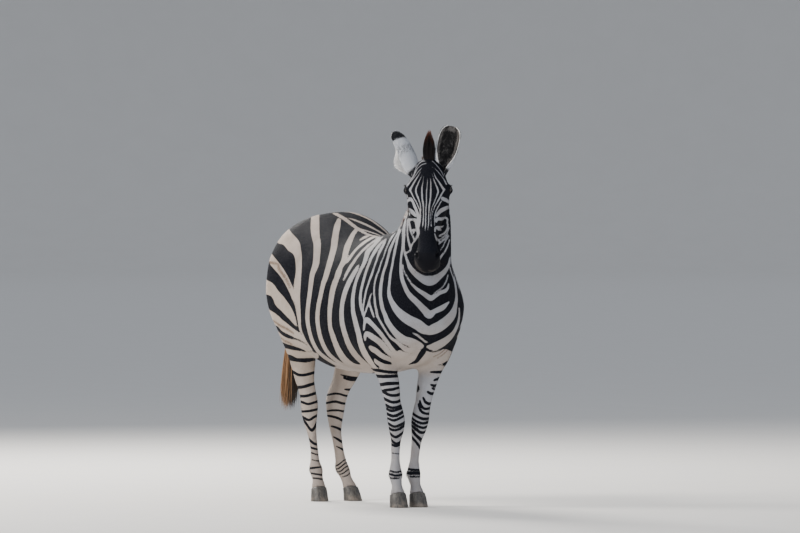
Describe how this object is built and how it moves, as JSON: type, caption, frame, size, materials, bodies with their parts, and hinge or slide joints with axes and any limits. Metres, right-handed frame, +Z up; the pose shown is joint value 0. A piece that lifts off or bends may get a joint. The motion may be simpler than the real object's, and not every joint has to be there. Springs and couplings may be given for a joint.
{
  "type": "zebra",
  "caption": "Life-size still model of a plains zebra standing on its hooves with its head raised and turned, for display.",
  "frame": {"origin": "on the ground, under the middle of the animal's overall box", "axes": "+X towards the chest and head, +Y to the animal's left, +Z up"},
  "size_m": [1.7722, 0.603, 1.776],
  "materials": {
    "coat": "short striped fur, matt with a faint sheen",
    "hair": "coarse upright hair",
    "horn": "dull hoof horn",
    "eye": "wet, glossy"
  },
  "bodies": {
    "root": {"torso": "coat", "neck": "coat", "head": "coat", "ear_left": "coat", "ear_right": "coat", "eye_left": "eye", "eye_right": "eye", "mane": "hair", "forelock": "hair", "foreleg_upper_left": "coat", "foreleg_upper_right": "coat", "foreleg_lower_left": "coat", "foreleg_lower_right": "coat", "hindleg_upper_left": "coat", "hindleg_upper_right": "coat", "hindleg_lower_left": "coat", "hindleg_lower_right": "coat", "fore_hoof_left": "horn", "fore_hoof_right": "horn", "hind_hoof_left": "horn", "hind_hoof_right": "horn", "tail_dock": "coat", "tail_tuft": "hair"}
  },
  "joints": []
}
